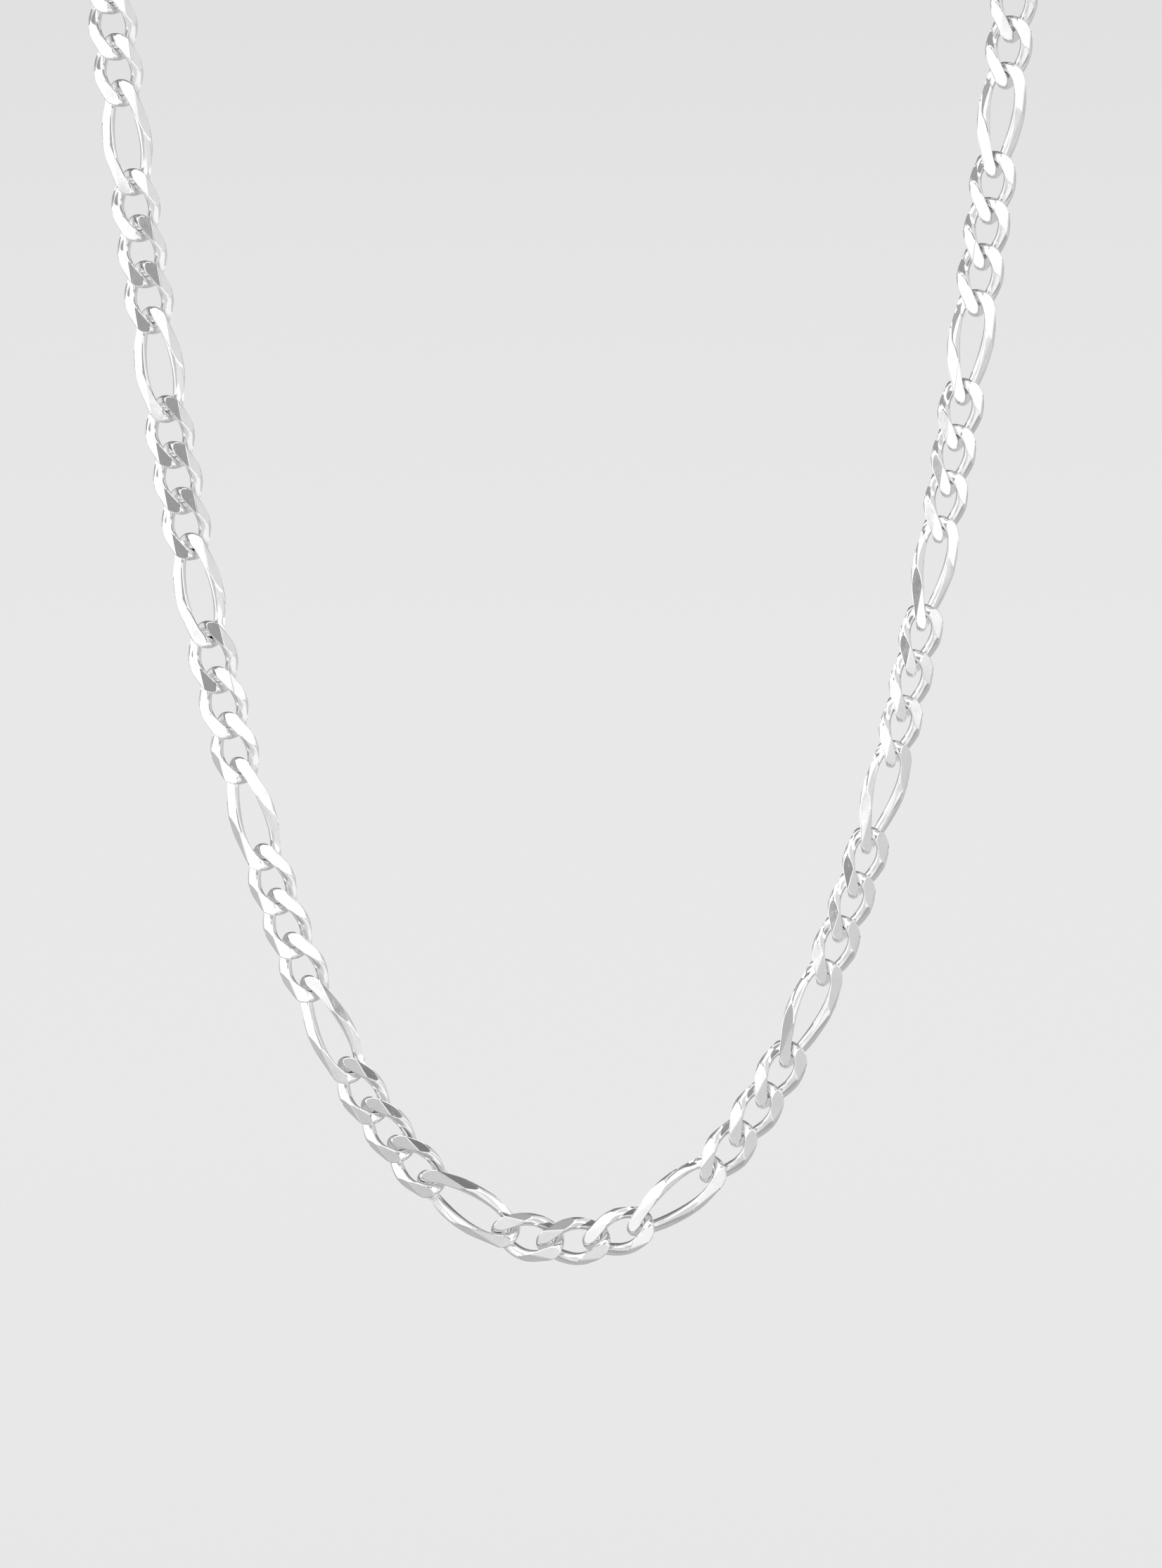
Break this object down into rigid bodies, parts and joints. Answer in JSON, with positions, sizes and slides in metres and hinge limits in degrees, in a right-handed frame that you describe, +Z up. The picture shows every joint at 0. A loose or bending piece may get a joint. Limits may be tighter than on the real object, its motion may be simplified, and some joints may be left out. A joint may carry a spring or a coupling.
{
  "type": "figaro chain necklace",
  "caption": "Closed figaro neck chain of flat cut curb links, rows of short links between long ones, hanging as a deep U with a plain barrel clasp.",
  "frame": {"origin": "the point at the nape where the neck carries the chain, on the inner side of the clasp's barrel", "axes": "+Z up, -Y towards the front of the wearer and the viewer, +X to the right as the viewer sees the front"},
  "size_m": [0.0918, 0.086, 0.1594],
  "materials": {
    "chain_silver": "bright polished silver with flat cut faces, fine hairline scratches and dark seams where the links meet",
    "clasp_silver": "plain polished silver with light wear"
  },
  "bodies": {
    "root": {"chain_left": "chain_silver", "chain_right": "chain_silver", "clasp": "clasp_silver"}
  },
  "joints": []
}
